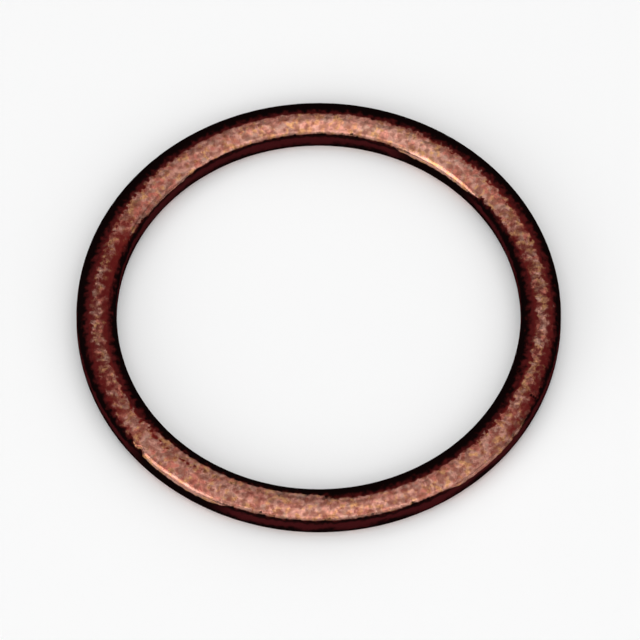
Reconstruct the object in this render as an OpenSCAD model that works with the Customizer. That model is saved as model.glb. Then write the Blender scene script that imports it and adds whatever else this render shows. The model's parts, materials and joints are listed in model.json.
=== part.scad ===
// Copper crush washer: one closed ring of soft copper with a crowned section.
// The ring lies flat, its axis is Z and the lower sealing land is at z = 0.

/* [Ring] */
// Diameter of the bore
bore_d = 30; // [8:0.5:100]
// Radial width of the ring, from the bore to the rim
ring_w = 3; // [2:0.1:6]
// Thickness of the ring over its two sealing lands
thickness = 2.5; // [1.5:0.1:5]

/* [Section] */
// Width of the flat sealing land along the top of each crown
land_w = 0.42; // [0.2:0.02:1.2]
// Height that the crown loses between the land and the top of the shoulders
crown_drop = 0.07; // [0.02:0.01:0.3]
// Radius of the shoulders that turn the crowns into the bore and the rim
shoulder_r = 0.8; // [0.2:0.05:1]

/* [Hidden] */
$fn = 180;

copper = "#9c5a46";

// Half sizes of the section
half_w = ring_w / 2;
half_t = thickness / 2;
half_land = land_w / 2;
mid_r = bore_d / 2 + half_w;

// A shoulder takes at most this share of the room that its wall and its crown leave
shoulder_share = 0.9;
shoulder_room = min(half_t - crown_drop, half_w - half_land);
edge_r = min(shoulder_r, shoulder_share * shoulder_room);

// Centre of a shoulder, which is also where the straight wall of the bore or rim ends
shoulder_x = half_w - edge_r;
shoulder_z = half_t - crown_drop - edge_r;

// The crown is one arc, tangent to the land at its edge and to the shoulder
reach_x = shoulder_x - half_land;
reach_z = half_t - shoulder_z;
crown_r = (pow(reach_x, 2) + pow(reach_z, 2) - pow(edge_r, 2)) / (2 * crown_drop);
crown_z = half_t - crown_r;

// Where the crown's arc hands over to the shoulder's
lean = asin(reach_x / (crown_r - edge_r));
blend_x = shoulder_x + edge_r * sin(lean);

// One quarter of the crown: its arc, cut off at the land and at the shoulder
module crown_quarter() {
    intersection() {
        translate([half_land, crown_z]) circle(crown_r);
        translate([half_land, 0]) square([blend_x - half_land, half_t]);
    }
}

module section() {
    square([land_w, thickness], center = true);
    square([ring_w, 2 * shoulder_z], center = true);
    for (side = [0, 1], face = [0, 1])
        mirror([side, 0]) mirror([0, face]) {
            crown_quarter();
            translate([shoulder_x, shoulder_z]) circle(edge_r);
        }
}

module crush_washer() {
    color(copper)
        rotate_extrude()
            translate([mid_r, half_t]) section();
}

crush_washer();
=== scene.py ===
"""Copper crush washer: the looks of the ring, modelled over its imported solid.

One piece of soft copper lies flat on a pale floor. Sizes are in metres and angles in radians.
"""

import json
import math
from types import SimpleNamespace

import bpy
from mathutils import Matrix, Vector


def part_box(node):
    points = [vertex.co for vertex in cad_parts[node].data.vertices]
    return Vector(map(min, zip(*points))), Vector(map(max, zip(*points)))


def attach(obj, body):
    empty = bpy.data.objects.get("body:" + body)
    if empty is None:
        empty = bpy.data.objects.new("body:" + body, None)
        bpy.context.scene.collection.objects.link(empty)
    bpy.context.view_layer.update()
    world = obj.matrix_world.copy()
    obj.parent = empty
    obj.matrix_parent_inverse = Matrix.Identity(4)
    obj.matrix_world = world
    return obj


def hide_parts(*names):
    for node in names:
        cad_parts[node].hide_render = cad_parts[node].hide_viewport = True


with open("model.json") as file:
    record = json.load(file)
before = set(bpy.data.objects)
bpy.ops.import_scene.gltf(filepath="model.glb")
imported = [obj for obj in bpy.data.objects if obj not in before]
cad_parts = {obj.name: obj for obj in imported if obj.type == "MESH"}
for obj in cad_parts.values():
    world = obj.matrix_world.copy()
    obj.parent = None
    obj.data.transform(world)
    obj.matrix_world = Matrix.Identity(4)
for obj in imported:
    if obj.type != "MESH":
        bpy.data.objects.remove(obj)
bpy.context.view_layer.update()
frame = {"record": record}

MM = 0.001
DEGREE = math.radians(1)
NODE = "crush_washer"
BODY = "root"

# The ring, from the frame
low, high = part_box(NODE)
bore = next(m for m in frame["record"]["mounts"] if m["name"] == "bore")
rim_r = high.x
bore_r = bore["dims"]["r_mm"] * MM
wall_h = bore["dims"]["length_mm"] * MM
thickness = high.z - low.z
mid_r = (rim_r + bore_r) / 2
mid_z = (low.z + high.z) / 2
half_w = (rim_r - bore_r) / 2
half_t = thickness / 2
ring_centre = Vector((0, 0, mid_z))

# The crowned section: land, crown and shoulder run into each other
land_w = 0.42 * MM
shoulder_r = 0.8 * MM
crown_drop = half_t - wall_h / 2 - shoulder_r
shoulder_x = half_w - shoulder_r
shoulder_z = wall_h / 2
crown_reach = shoulder_x - land_w / 2
crown_r = (crown_reach**2 + (half_t - shoulder_z) ** 2 - shoulder_r**2) / (2 * crown_drop)
crown_turn = math.asin(crown_reach / (crown_r - shoulder_r))
shoulder_turn = math.pi / 2 - crown_turn

# How finely the ring is turned
AROUND = 800
WALL_CUTS = 8
SHOULDER_STEPS = 12
CROWN_STEPS = 7
LAND_CUTS = 7
WELD = 0.001 * MM

# Sides of the section
RIM_SIDE = 1
BORE_SIDE = -1
UPPER_FACE = 1
LOWER_FACE = -1

# Dents all over, one nick and one short gouge
DENT_SIZE = 0.5 * MM
DENT_DEPTH = 0.014 * MM
NICK_MARGIN = 1.6
NICK_CUTS = 2
NICK_FLOOR = 0.4
NICK = {"azimuth": 222 * DEGREE, "tilt": 60 * DEGREE, "radius": 0.36 * MM, "depth": 0.17 * MM}
GOUGE_TILTS = [14 * DEGREE, 28 * DEGREE, 42 * DEGREE]
GOUGE = [
    {"azimuth": -25 * DEGREE, "tilt": tilt, "radius": 0.17 * MM, "depth": 0.06 * MM} for tilt in GOUGE_TILTS
]
NICKS = [NICK, *GOUGE]


def deselect_all():
    """Leaves nothing selected, so that an operator acts only on the new piece."""
    bpy.ops.object.select_all(action="DESELECT")


def add_edge(length, place):
    """An upright edge of that length with its middle at place, cut down from a plane.

    It stays in edit mode.
    """
    deselect_all()
    bpy.ops.mesh.primitive_plane_add(size=length, location=place, rotation=(0, math.pi / 2, 0))
    bpy.ops.object.transform_apply(location=True, rotation=True, scale=True)
    piece = bpy.context.active_object
    bpy.ops.object.mode_set(mode="EDIT")
    bpy.ops.mesh.select_all(action="DESELECT")
    bpy.ops.object.mode_set(mode="OBJECT")
    for vertex in piece.data.vertices:
        vertex.select = vertex.co.y > 0
    bpy.ops.object.mode_set(mode="EDIT")
    bpy.ops.mesh.select_mode(type="VERT")
    bpy.ops.mesh.delete(type="VERT")
    bpy.ops.mesh.select_all(action="SELECT")
    bpy.ops.transform.translate(value=(0, length / 2, 0))
    return piece


def select_vertex(piece, place):
    """Selects the one vertex that lies nearest to place, in edit mode."""
    bpy.ops.mesh.select_all(action="DESELECT")
    bpy.ops.object.mode_set(mode="OBJECT")
    nearest = min(piece.data.vertices, key=lambda vertex: (vertex.co - place).length)
    nearest.select = True
    bpy.ops.object.mode_set(mode="EDIT")


def section_point(offset, lift):
    """A point in the section's plane, from the middle of the section."""
    return Vector((mid_r + offset, 0, mid_z + lift))


def draw_line(step, cuts):
    """Draws a straight stretch of the section from the selected vertex, in equal cuts."""
    for _ in range(cuts):
        bpy.ops.mesh.extrude_region_move(TRANSFORM_OT_translate={"value": step / cuts})


def draw_arc(centre, turn, steps):
    """Draws a round stretch of the section from the selected vertex, about a centre in its plane."""
    bpy.ops.mesh.spin(steps=steps, angle=turn, center=centre, axis=(0, 1, 0))


def turn_ring():
    """Draws the section from the rim's wall over both faces and turns it once round the axis."""
    ring = add_edge(wall_h, (rim_r, 0, mid_z))
    ring.name = "copper_ring"
    select_vertex(ring, Vector((rim_r, 0, mid_z + wall_h / 2)))
    for face in (UPPER_FACE, LOWER_FACE):
        sides = [face * RIM_SIDE, face * BORE_SIDE]
        shoulders = [section_point(side * shoulder_x, face * shoulder_z) for side in sides]
        crowns = [section_point(side * land_w / 2, face * (half_t - crown_r)) for side in sides]
        draw_arc(shoulders[0], shoulder_turn, SHOULDER_STEPS)
        draw_arc(crowns[0], crown_turn, CROWN_STEPS)
        draw_line(Vector((-face * land_w, 0, 0)), LAND_CUTS)
        draw_arc(crowns[1], crown_turn, CROWN_STEPS)
        draw_arc(shoulders[1], shoulder_turn, SHOULDER_STEPS)
        if face == UPPER_FACE:
            draw_line(Vector((0, 0, -wall_h)), WALL_CUTS)
    bpy.ops.mesh.select_all(action="SELECT")
    bpy.ops.mesh.remove_doubles(threshold=WELD)
    bpy.ops.object.mode_set(mode="OBJECT")
    lathe = ring.modifiers.new("lathe", "SCREW")
    lathe.axis = "Z"
    lathe.angle = math.tau
    lathe.steps = AROUND
    lathe.render_steps = AROUND
    lathe.use_merge_vertices = True
    lathe.merge_threshold = WELD
    bpy.ops.object.modifier_apply(modifier=lathe.name)
    bpy.ops.object.mode_set(mode="EDIT")
    bpy.ops.mesh.select_all(action="SELECT")
    bpy.ops.mesh.normals_make_consistent(inside=False)
    bpy.ops.object.mode_set(mode="OBJECT")
    bpy.ops.object.shade_smooth()
    return ring


def dent_all_over(ring):
    """Gives the soft copper faint dents all over."""
    dents = bpy.data.textures.new("dents", "CLOUDS")
    dents.noise_scale = DENT_SIZE
    relief = ring.modifiers.new("dents", "DISPLACE")
    relief.texture = dents
    relief.texture_coords = "LOCAL"
    relief.strength = DENT_DEPTH
    bpy.ops.object.modifier_apply(modifier=relief.name)


def surface_point(azimuth, tilt, side=RIM_SIDE):
    """The place and the normal on an upper shoulder, at an azimuth and a tilt from the land."""
    around = Vector((math.cos(azimuth), math.sin(azimuth), 0))
    normal = around * side * math.sin(tilt) + Vector((0, 0, math.cos(tilt)))
    middle = around * (mid_r + side * shoulder_x) + Vector((0, 0, mid_z + shoulder_z))
    return middle + normal * shoulder_r, normal


def select_near(ring, place, radius):
    """Selects the faces of the ring within a radius of a place, in edit mode."""
    bpy.ops.object.mode_set(mode="EDIT")
    bpy.ops.mesh.select_mode(type="FACE")
    bpy.ops.mesh.select_all(action="DESELECT")
    bpy.ops.object.mode_set(mode="OBJECT")
    for face in ring.data.polygons:
        face.select = (face.center - place).length < radius
    bpy.ops.object.mode_set(mode="EDIT")


def press_nick(ring, azimuth, tilt, radius, depth):
    """Presses one small nick into the outer shoulder, after cutting the faces there finer."""
    place, normal = surface_point(azimuth, tilt)
    select_near(ring, place, NICK_MARGIN * radius)
    bpy.ops.mesh.subdivide(number_cuts=NICK_CUTS, smoothness=1.0)
    select_near(ring, place, NICK_FLOOR * radius)
    bpy.ops.transform.translate(
        value=normal * -depth,
        use_proportional_edit=True,
        use_proportional_connected=True,
        proportional_edit_falloff="SMOOTH",
        proportional_size=radius,
    )
    bpy.ops.object.mode_set(mode="OBJECT")


# Copper: sizes of its spots, specks and grain
CRYSTAL = 0.5 * MM
PATCH = 0.68 * MM
SPECK = 0.03 * MM
GRAIN = 0.24 * MM
GRAIN_DEPTH = 0.012 * MM
SPOT_DETAIL = 1.5
SPOT_LOW = 0.3
SPOT_HIGH = 0.7
SPECK_DETAIL = 1.0
NOISE_DETAIL = 2.0
NOISE_MIDDLE = 0.5

# Copper: the bare metal's colours, and how they spread over the spots
ROSE_COLOUR = (0.64, 0.325, 0.25, 1)
GOLD_COLOUR = (0.66, 0.34, 0.16, 1)
RED_COLOUR = (0.6, 0.2, 0.145, 1)
GREY_COLOUR = (0.45, 0.27, 0.21, 1)
BROWN_COLOUR = (0.26, 0.105, 0.07, 1)
GOLD_STARTS = 0.45
GOLD_FULL = 0.95
GOLD_DRIFT = 0.3
RED_STARTS = 0.4
RED_FULL = 0.9
BLUSH_LOW = 0.35
BLUSH_HIGH = 1.0
GREY_STARTS = 0.65
GREY_FULL = 1.0
GREY_SHARE = 0.8
DIM_STARTS = 0.3
DIM_FULL = 1.0
DIM_SHARE = 0.72
LINE_LENGTH = 1.5 * MM
LINE_WIDTH = 8 * DEGREE
LINE_STARTS = 0.45
LINE_FULL = 0.65
LINE_SHARE = 0.6

# Copper: flecks of metal, and the painted shade that thins them on the left and the right
BAND_SHARE = 0.1
SIDE_SHARE = 0.2
SMOOTH_BARENESS = 0.8
FLECK_STARTS = 0.38
FLECK_FULL = 0.5
SHADED_SIDE_STARTS = 0.74 * mid_r
SIDE_SHADE_LOW = 0.05
SIDE_SHADE_HIGH = 0.18
SIDE_SHADE_MIDDLE = -35 * DEGREE
SIDE_SHADE_EDGE = 2 * DEGREE
# Painted light near one place and painted shade near another: more or fewer flecks of metal on the shoulders
# that look to the front
LIGHT_AND_SHADE_PLACES = [
    {"azimuth": 62 * DEGREE, "reach": 15.0 * MM, "core": 4.0 * MM, "gain": 0.06},
    {"azimuth": 180 * DEGREE, "reach": 10.0 * MM, "core": 3.0 * MM, "gain": -0.11},
]

# Copper: how far down the shoulders the metal shows; wear bares it where rubbed or scuffed, and painted light
# takes it further down on the shoulders that look to the front
FRONT_TURN = 9 * DEGREE
FRONT = (math.sin(FRONT_TURN), -math.cos(FRONT_TURN), 0)
# Painted light: the metal shows further down the shoulders that look to the front, and less far on those that
# look to the back
LIGHT_FACING_STARTS = -0.5
LIGHT_FACING_FULL = 1.0
FRONT_LIGHT_REACH = 76 * DEGREE
BACK_LIGHT_REACH = -5 * DEGREE
BACK_NEAT = -0.6
# The shoulders that look front-left are rubbed smooth and bared further, and their walls get painted shade
RUB_AND_SHADE_TURN = 36.5 * DEGREE
RUBBED_AND_SHADED_WAY = (-math.sin(RUB_AND_SHADE_TURN), -math.cos(RUB_AND_SHADE_TURN), 0)
RUB_AND_SHADE_STARTS = math.cos(17 * DEGREE)
RUB_AND_SHADE_FULL = math.cos(8 * DEGREE)
RUB_WEAR = 30 * DEGREE
SCUFF_TILT = 70 * DEGREE
SCUFFS = [
    {"azimuth": -43 * DEGREE, "side": RIM_SIDE, "reach": 5.5 * MM, "core": 3.0 * MM, "metal_reach": 28 * DEGREE},
    {"azimuth": 139 * DEGREE, "side": BORE_SIDE, "reach": 3.5 * MM, "core": 1.5 * MM, "metal_reach": 16 * DEGREE},
    {"azimuth": -113 * DEGREE, "side": BORE_SIDE, "reach": 10.0 * MM, "core": 5.0 * MM, "metal_reach": 30 * DEGREE},
]
SHINE_FULL = -31 * DEGREE
SHINE_ENDS = -15 * DEGREE
SMOOTH_STARTS = 32 * DEGREE
SMOOTH_FULL = 52 * DEGREE
UNRUBBED_SMOOTH = 0.35
RAGGED_SIZE = 0.4 * MM
RAGGED_DETAIL = 3.0
RAGGED = 85 * DEGREE
NEAT = 20 * DEGREE

# Copper: the tarnish's colours, and where each lies; the near-black is painted dark reflection and shade
# round the rims and on the walls
PIT_COLOUR = (0.16, 0.013, 0.01, 1)
OXIDE_COLOUR = (0.07, 0.008, 0.008, 1)
# Near-black: painted dark reflection and shade round the rims and on the walls, and the colour of the nicks
NEAR_BLACK_COLOUR = (0.004, 0.0015, 0.0015, 1)
WALL_COLOUR = (0.045, 0.006, 0.007, 1)
OXIDE_STARTS = -32 * DEGREE
OXIDE_FULL = -14 * DEGREE
SIDE_SHADE_OXIDE = 0.8
# Painted dark reflection and shade round the rims, climbing higher on the shoulders that look to the back
RIM_SHADE_STARTS = -13 * DEGREE
RIM_SHADE_FULL = 28 * DEGREE
RIM_SHADE_RETREAT = 0.5
BACK_SHADE_CLIMB = 26 * DEGREE
RIM_SHADE_WAVER = 90 * DEGREE
WALL_STARTS = 63 * DEGREE
WALL_FULL = 82 * DEGREE
WALL_STAIN = 45 * DEGREE
# Painted shade on the lower walls
WALL_SHADE_STARTS = wall_h / 4
WALL_SHADE_FULL = -wall_h / 2
BLOTCH_SIZE = 2.5 * MM
BLOTCH_DETAIL = 3.0
BLOTCH_DEPTH = 2.0 * wall_h

# Copper: the finish of metal and tarnish
METAL_SHARE = 0.4
SHINE_ROUGHNESS = 0.2
DULL_ROUGHNESS = 0.5
EDGE_TINT = (0, 0, 0, 1)


class Nodes:
    """Short ways to add and wire the nodes of one material."""

    def __init__(self, name):
        self.material = bpy.data.materials.new(name)
        self.material.use_nodes = True
        self.tree = self.material.node_tree
        self.shader = self.tree.nodes["Principled BSDF"]
        self.place = self.tree.nodes.new("ShaderNodeTexCoord").outputs["Object"]

    def feed(self, socket, value):
        """Wires an output to a socket, or sets a plain value on it."""
        if isinstance(value, bpy.types.NodeSocket):
            self.tree.links.new(value, socket)
        else:
            socket.default_value = value

    def split(self, vector):
        """The three parts of a vector."""
        node = self.tree.nodes.new("ShaderNodeSeparateXYZ")
        self.feed(node.inputs["Vector"], vector)
        return node.outputs["X"], node.outputs["Y"], node.outputs["Z"]

    def combine(self, x, y, z):
        """A vector from its three parts."""
        node = self.tree.nodes.new("ShaderNodeCombineXYZ")
        self.feed(node.inputs["X"], x)
        self.feed(node.inputs["Y"], y)
        self.feed(node.inputs["Z"], z)
        return node.outputs["Vector"]

    def maths(self, operation, first, second=None):
        """The result of one operation on one or two values."""
        node = self.tree.nodes.new("ShaderNodeMath")
        node.operation = operation
        self.feed(node.inputs[0], first)
        if second is not None:
            self.feed(node.inputs[1], second)
        return node.outputs["Value"]

    def measure(self, operation, vector):
        """The dot product of the place on the surface with a vector, or the distance between them."""
        node = self.tree.nodes.new("ShaderNodeVectorMath")
        node.operation = operation
        self.feed(node.inputs[0], self.place)
        self.feed(node.inputs[1], vector)
        return node.outputs["Value"]

    def noise(self, size, detail=NOISE_DETAIL, place=None):
        """Noise whose spots are about that size."""
        node = self.tree.nodes.new("ShaderNodeTexNoise")
        self.feed(node.inputs["Vector"], place or self.place)
        self.feed(node.inputs["Scale"], 1 / size)
        self.feed(node.inputs["Detail"], detail)
        return node.outputs["Fac"]

    def spots(self, size):
        """Three values that change from spot to spot of about that size, each spread over 0 to 1."""
        node = self.tree.nodes.new("ShaderNodeTexNoise")
        self.feed(node.inputs["Vector"], self.place)
        self.feed(node.inputs["Scale"], 1 / size)
        self.feed(node.inputs["Detail"], SPOT_DETAIL)
        split = self.tree.nodes.new("ShaderNodeSeparateColor")
        self.feed(split.inputs["Color"], node.outputs["Color"])
        return [self.ramp(split.outputs[part], SPOT_LOW, SPOT_HIGH) for part in ("Red", "Green", "Blue")]

    def ramp(self, value, start, end, low=0.0, high=1.0):
        """A value that goes smoothly from low at start to high at end."""
        node = self.tree.nodes.new("ShaderNodeMapRange")
        node.interpolation_type = "SMOOTHSTEP"
        self.feed(node.inputs["Value"], value)
        self.feed(node.inputs["From Min"], start)
        self.feed(node.inputs["From Max"], end)
        self.feed(node.inputs["To Min"], low)
        self.feed(node.inputs["To Max"], high)
        return node.outputs["Result"]

    def mix(self, share, first, second):
        """A value between two others, the first where share is 0."""
        node = self.tree.nodes.new("ShaderNodeMix")
        self.feed(node.inputs["Factor"], share)
        self.feed(node.inputs["A"], first)
        self.feed(node.inputs["B"], second)
        return node.outputs["Result"]

    def blend(self, share, first, second):
        """The first colour where share is 0 and the second where it is 1."""
        node = self.tree.nodes.new("ShaderNodeMix")
        node.data_type = "RGBA"
        self.feed(node.inputs["Factor"], share)
        self.feed(node.inputs["A"], first)
        self.feed(node.inputs["B"], second)
        return node.outputs["Result"]


def read_place(n):
    """Where on the ring a point lies, in the terms that wear, tarnish and the painted light and shade follow.
    """
    at = SimpleNamespace()
    at.x, at.y, z = n.split(n.place)
    radius = n.maths("SQRT", n.maths("ADD", n.maths("MULTIPLY", at.x, at.x), n.maths("MULTIPLY", at.y, at.y)))
    at.offset = n.maths("SUBTRACT", radius, mid_r)
    at.lift = n.maths("SUBTRACT", z, mid_z)

    # How far the surface leans over its shoulder
    beyond = n.maths("SUBTRACT", n.maths("ABSOLUTE", at.offset), shoulder_x)
    above = n.maths("SUBTRACT", n.maths("ABSOLUTE", at.lift), shoulder_z)
    at.lean = n.maths("ARCTAN2", beyond, above)

    # How squarely it looks to the front, and whether it looks front-left, where it was rubbed and its walls
    # get painted shade
    outward = n.maths("DIVIDE", n.maths("SIGN", at.offset), radius)
    at.facing = n.maths("MULTIPLY", n.measure("DOT_PRODUCT", FRONT), outward)
    front_left_facing = n.maths("MULTIPLY", n.measure("DOT_PRODUCT", RUBBED_AND_SHADED_WAY), outward)
    at.rubbed = n.ramp(front_left_facing, RUB_AND_SHADE_STARTS, RUB_AND_SHADE_FULL)

    # The left and right sides, which get painted shade, the shoulders that wear smooth, and the waver of each
    # border
    at.side = n.ramp(n.maths("ABSOLUTE", at.x), SHADED_SIDE_STARTS, mid_r)
    at.smooth = n.ramp(at.lean, SMOOTH_STARTS, SMOOTH_FULL, 0.0, n.mix(at.rubbed, UNRUBBED_SMOOTH, 1.0))
    at.waver = n.maths("SUBTRACT", n.noise(RAGGED_SIZE, RAGGED_DETAIL), NOISE_MIDDLE)
    return at


def bare_metal_by_wear_and_light(n, at):
    """How far down the shoulders the metal shows, and how bare a point is.

    It goes further on the shoulders that look to the front, which is painted light, and where they are rubbed
    or scuffed, which is wear.
    """
    neat = n.maths("MAXIMUM", n.ramp(at.lean, SMOOTH_STARTS, SMOOTH_FULL), n.ramp(at.facing, BACK_NEAT, -1.0))
    # Painted light: the metal reaches further down on the shoulders that look to the front
    metal_reach = n.ramp(at.facing, LIGHT_FACING_STARTS, LIGHT_FACING_FULL, BACK_LIGHT_REACH, FRONT_LIGHT_REACH)
    metal_reach = n.maths("ADD", metal_reach, n.maths("MULTIPLY", at.rubbed, RUB_WEAR))
    for scuff in SCUFFS:
        place, _ = surface_point(scuff["azimuth"], SCUFF_TILT, scuff["side"])
        scuffed = n.ramp(n.measure("DISTANCE", place), scuff["reach"], scuff["core"])
        shoulder = n.ramp(n.maths("MULTIPLY", at.offset, scuff["side"]), 0.0, shoulder_x)
        scuffed = n.maths("MULTIPLY", scuffed, shoulder)
        metal_reach = n.maths("ADD", metal_reach, n.maths("MULTIPLY", scuffed, scuff["metal_reach"]))
        neat = n.maths("MAXIMUM", neat, scuffed)
    wander = n.maths("MULTIPLY", at.waver, n.mix(neat, RAGGED, NEAT))
    border = n.maths("ADD", n.maths("SUBTRACT", at.lean, metal_reach), wander)
    return metal_reach, n.ramp(border, SHINE_ENDS, SHINE_FULL)


def scatter_flecks(n, at, bareness):
    """The flecks in which the metal shows, fewer of them on the left and the right as painted shade, and more
    or fewer near a few places as painted light and shade.
    """
    share = n.mix(at.side, BAND_SHARE, SIDE_SHARE)
    mottle = n.mix(share, n.noise(SPECK, SPECK_DETAIL), n.mix(at.smooth, bareness, SMOOTH_BARENESS))
    # Painted shade: fewer flecks of metal on the left and the right
    side_shade = n.ramp(at.lean, SIDE_SHADE_MIDDLE, SIDE_SHADE_EDGE, SIDE_SHADE_LOW, SIDE_SHADE_HIGH)
    mottle = n.maths("SUBTRACT", mottle, n.maths("MULTIPLY", at.side, side_shade))
    # Painted light and shade: more or fewer flecks near a few places
    for painted_patch in LIGHT_AND_SHADE_PLACES:
        place, _ = surface_point(painted_patch["azimuth"], 0.0)
        gain = n.ramp(n.measure("DISTANCE", place), painted_patch["reach"], painted_patch["core"], 0.0, painted_patch["gain"])
        gain = n.maths("MULTIPLY", gain, n.ramp(at.facing, LIGHT_FACING_STARTS, LIGHT_FACING_FULL))
        mottle = n.maths("ADD", mottle, gain)
    return n.ramp(mottle, FLECK_STARTS, FLECK_FULL)


def tint_metal(n, at, tinge, dimness):
    """The metal's colour, which changes from spot to spot, with fine lines along the smooth shoulders."""
    warmth, greyness, _ = n.spots(PATCH)
    golden = n.maths("ADD", tinge, n.maths("MULTIPLY", at.side, GOLD_DRIFT))
    tint = n.blend(n.ramp(golden, GOLD_STARTS, GOLD_FULL), ROSE_COLOUR, GOLD_COLOUR)
    blush = n.ramp(n.maths("ABSOLUTE", at.x), 0.0, SHADED_SIDE_STARTS, BLUSH_LOW, BLUSH_HIGH)
    blush = n.mix(at.smooth, blush, 0.0)
    tint = n.blend(n.ramp(warmth, RED_STARTS, RED_FULL, 0.0, blush), tint, RED_COLOUR)
    tint = n.blend(n.ramp(greyness, GREY_STARTS, GREY_FULL, 0.0, GREY_SHARE), tint, GREY_COLOUR)
    along_x = n.maths("DIVIDE", at.x, LINE_LENGTH)
    along_y = n.maths("DIVIDE", at.y, LINE_LENGTH)
    across = n.maths("DIVIDE", at.lean, LINE_WIDTH)
    lines = n.noise(1.0, place=n.combine(along_x, along_y, across))
    spotted = n.ramp(dimness, DIM_STARTS, DIM_FULL, 0.0, DIM_SHARE)
    lined = n.ramp(lines, LINE_STARTS, LINE_FULL, 0.0, LINE_SHARE)
    return n.blend(n.mix(at.smooth, spotted, lined), tint, BROWN_COLOUR)


def tint_tarnish(n, at, metal_reach):
    """The tarnish's colour: deep red oxide on top, near-black round the rims and burgundy down the walls; the
    near-black is painted dark reflection and shade.
    """
    # Painted dark reflection and shade round the rims, higher on the shoulders that look to the back
    rim_shade_climb = n.maths("ADD", n.ramp(at.facing, 0.0, -1.0, 0.0, BACK_SHADE_CLIMB), n.maths("MULTIPLY", at.waver, RIM_SHADE_WAVER))
    rim_shade_climb = n.maths("SUBTRACT", rim_shade_climb, n.maths("MULTIPLY", metal_reach, RIM_SHADE_RETREAT))
    rim_shade = n.ramp(n.maths("ADD", at.lean, rim_shade_climb), RIM_SHADE_STARTS, RIM_SHADE_FULL)
    oxide = n.ramp(n.maths("SUBTRACT", at.lean, metal_reach), OXIDE_STARTS, OXIDE_FULL)
    # Painted shade: the darker oxide colour covers the left and right sides
    oxide = n.maths("MAXIMUM", oxide, n.maths("MULTIPLY", at.side, SIDE_SHADE_OXIDE))
    tarnish = n.blend(rim_shade, n.blend(oxide, PIT_COLOUR, OXIDE_COLOUR), NEAR_BLACK_COLOUR)

    # Painted shade darkens the lower walls up to a blotchy border, and covers the walls that look front-left
    blotch = n.maths("SUBTRACT", n.noise(BLOTCH_SIZE, BLOTCH_DETAIL), NOISE_MIDDLE)
    blotch = n.maths("MULTIPLY", blotch, BLOTCH_DEPTH)
    height = n.maths("ADD", at.lift, n.maths("ADD", blotch, n.maths("MULTIPLY", at.waver, wall_h)))
    shaded_wall = n.maths("MAXIMUM", at.rubbed, n.ramp(height, WALL_SHADE_STARTS, WALL_SHADE_FULL))
    wall = n.blend(shaded_wall, WALL_COLOUR, NEAR_BLACK_COLOUR)
    drop = n.maths("ADD", at.lean, n.maths("MULTIPLY", at.waver, WALL_STAIN))
    return n.blend(n.ramp(drop, WALL_STARTS, WALL_FULL), tarnish, wall)


def make_copper():
    """Mottled bare metal along the crowns, with tarnish and painted shade beside it, tarnish between its
    flecks, and darker in the nicks.
    """
    n = Nodes("mottled_copper")
    at = read_place(n)
    metal_reach, shine = bare_metal_by_wear_and_light(n, at)
    bareness, tinge, dimness = n.spots(CRYSTAL)
    bright = n.maths("MULTIPLY", shine, scatter_flecks(n, at, bareness))
    metal = tint_metal(n, at, tinge, dimness)
    tarnish = tint_tarnish(n, at, metal_reach)
    # The nicks are darkened to near-black and lose their flecks of metal
    for nick in NICKS:
        place, _ = surface_point(nick["azimuth"], nick["tilt"])
        clear = n.ramp(n.measure("DISTANCE", place), NICK_FLOOR * nick["radius"], nick["radius"])
        bright = n.maths("MULTIPLY", bright, clear)
        tarnish = n.blend(clear, NEAR_BLACK_COLOUR, tarnish)

    n.feed(n.shader.inputs["Base Color"], n.blend(n.ramp(bright, METAL_SHARE, 1.0), tarnish, metal))
    n.feed(n.shader.inputs["Metallic"], n.ramp(bright, 0.0, METAL_SHARE))
    n.feed(n.shader.inputs["Roughness"], n.ramp(bright, 0.0, 1.0, DULL_ROUGHNESS, SHINE_ROUGHNESS))
    n.feed(n.shader.inputs["Specular IOR Level"], 0.0)
    n.feed(n.shader.inputs["Specular Tint"], EDGE_TINT)
    bump = n.tree.nodes.new("ShaderNodeBump")
    n.feed(bump.inputs["Height"], n.noise(GRAIN))
    n.feed(bump.inputs["Distance"], GRAIN_DEPTH)
    n.feed(n.shader.inputs["Normal"], bump.outputs["Normal"])
    return n.material


# Floor
FLOOR_SIZE = 3.0
PAPER_COLOUR = (0.95, 0.95, 0.95, 1)
PAPER_ROUGHNESS = 0.9


def lay_floor():
    """A plain sheet of pale paper under the ring."""
    deselect_all()
    bpy.ops.mesh.primitive_plane_add(size=FLOOR_SIZE)
    floor = bpy.context.active_object
    floor.name = "floor"
    paper = bpy.data.materials.new("paper")
    paper.use_nodes = True
    shader = paper.node_tree.nodes["Principled BSDF"]
    shader.inputs["Base Color"].default_value = PAPER_COLOUR
    shader.inputs["Roughness"].default_value = PAPER_ROUGHNESS
    shader.inputs["Specular IOR Level"].default_value = 0.0
    floor.data.materials.append(paper)


# Light, with each lamp's way and spread in degrees
LAMP_REACH = 2.5
SOFTBOXES = [
    {"name": "overhead_softbox", "way": (10, 0), "spread": (41, 41), "radiance": 0.91},
    {"name": "overhead_strip", "way": (0, 0), "spread": (7, 23), "radiance": 0.85},
    {"name": "front_softbox", "way": (50, 0), "spread": (58, 24), "radiance": 0.7, "shape": "RECTANGLE"},
    {"name": "back_accent", "way": (54, 158), "spread": (28, 23), "radiance": 0.75},
    {"name": "left_softbox", "way": (60, -70), "spread": (24, 20), "radiance": 0.45},
    {"name": "left_accent", "way": (71, -56), "spread": (18, 18), "radiance": 1.9},
    {"name": "right_accent", "way": (66, 66), "spread": (30, 23), "radiance": 0.65, "shape": "RECTANGLE"},
]
SHADOW_FILL = {"name": "shadow_fill", "way": (13, 0), "spread": (60, 60), "radiance": 0.21}
STUDIO_COLOUR = (0.02, 0.02, 0.02, 1)


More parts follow.
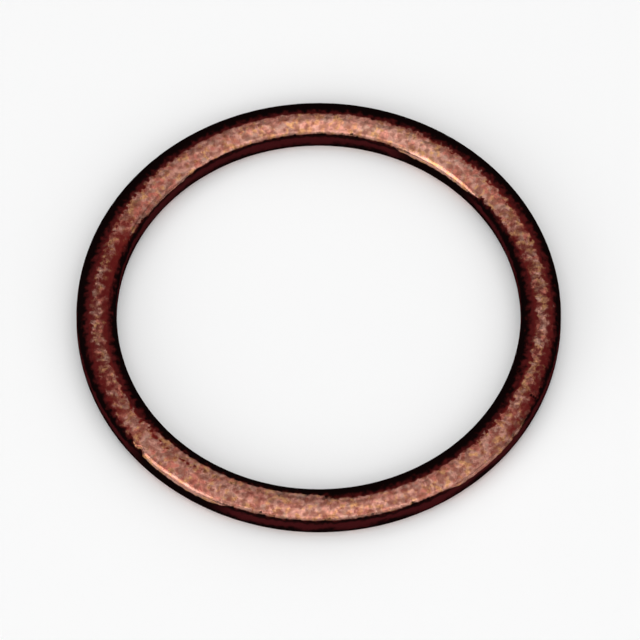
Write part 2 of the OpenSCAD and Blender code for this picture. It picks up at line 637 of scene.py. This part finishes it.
def add_softbox(name, way, spread, radiance, shape="ELLIPSE"):
    """A soft light that faces the ring.

    Its way is a tilt off the vertical to the front and a turn to the right. Its spread is the angles from its
    middle to its edges, across and up, as the ring sees them.
    """
    tilt, turn = (math.radians(angle) for angle in way)
    wide, tall = (math.radians(angle) for angle in spread)
    outward = Vector((math.sin(tilt) * math.sin(turn), -math.sin(tilt) * math.cos(turn), math.cos(tilt)))
    bpy.ops.object.light_add(type="AREA", location=ring_centre + outward * LAMP_REACH)
    lamp = bpy.context.active_object
    lamp.name = name
    lamp.rotation_mode = "QUATERNION"
    lamp.rotation_quaternion = outward.to_track_quat("Z", "Y")
    lamp.data.shape = shape
    lamp.data.size = 2 * LAMP_REACH * math.tan(wide)
    lamp.data.size_y = 2 * LAMP_REACH * math.tan(tall)
    filled = math.pi / 4 if shape == "ELLIPSE" else 1.0
    lamp.data.energy = radiance * math.pi * filled * lamp.data.size * lamp.data.size_y
    return lamp


def light_studio():
    """Soft lamps all round, a fill that the metal doesn't mirror, and a dim grey room."""
    for softbox in SOFTBOXES:
        add_softbox(**softbox)
    fill = add_softbox(**SHADOW_FILL)
    fill.visible_glossy = False
    world = bpy.data.worlds.new("studio")
    bpy.context.scene.world = world
    world.use_nodes = True
    world.node_tree.nodes["Background"].inputs["Color"].default_value = STUDIO_COLOUR


# Camera
FRAME_PX = 640
SENSOR = 36.0
LENS = 1000.0
CLIP_START = 0.01
PX_PER_MM = 13.46
ELEVATION = 60.45 * DEGREE
AIM_PX = Vector((1.3, -3.6))


def place_camera():
    """A long lens at the photo's angle, with the ring as large and as far off the middle as there."""
    back = Vector((0, -math.cos(ELEVATION), math.sin(ELEVATION)))
    up = Vector((0, math.sin(ELEVATION), math.cos(ELEVATION)))
    right = Vector((1, 0, 0))
    aim = ring_centre + (right * AIM_PX.x + up * AIM_PX.y) * (MM / PX_PER_MM)
    distance = FRAME_PX * LENS / SENSOR / PX_PER_MM * MM
    camera_data = bpy.data.cameras.new("camera")
    camera_data.lens = LENS
    camera_data.sensor_width = SENSOR
    camera_data.clip_start = CLIP_START
    camera = bpy.data.objects.new("camera", camera_data)
    bpy.context.scene.collection.objects.link(camera)
    camera.location = aim + back * distance
    camera.rotation_mode = "QUATERNION"
    camera.rotation_quaternion = back.to_track_quat("Z", "Y")
    bpy.context.scene.camera = camera


ring = turn_ring()
dent_all_over(ring)
for nick in NICKS:
    press_nick(ring, **nick)
ring.data.materials.append(make_copper())

lay_floor()
light_studio()
place_camera()
bpy.context.scene.view_settings.view_transform = "Standard"

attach(ring, BODY)
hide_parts(NODE)
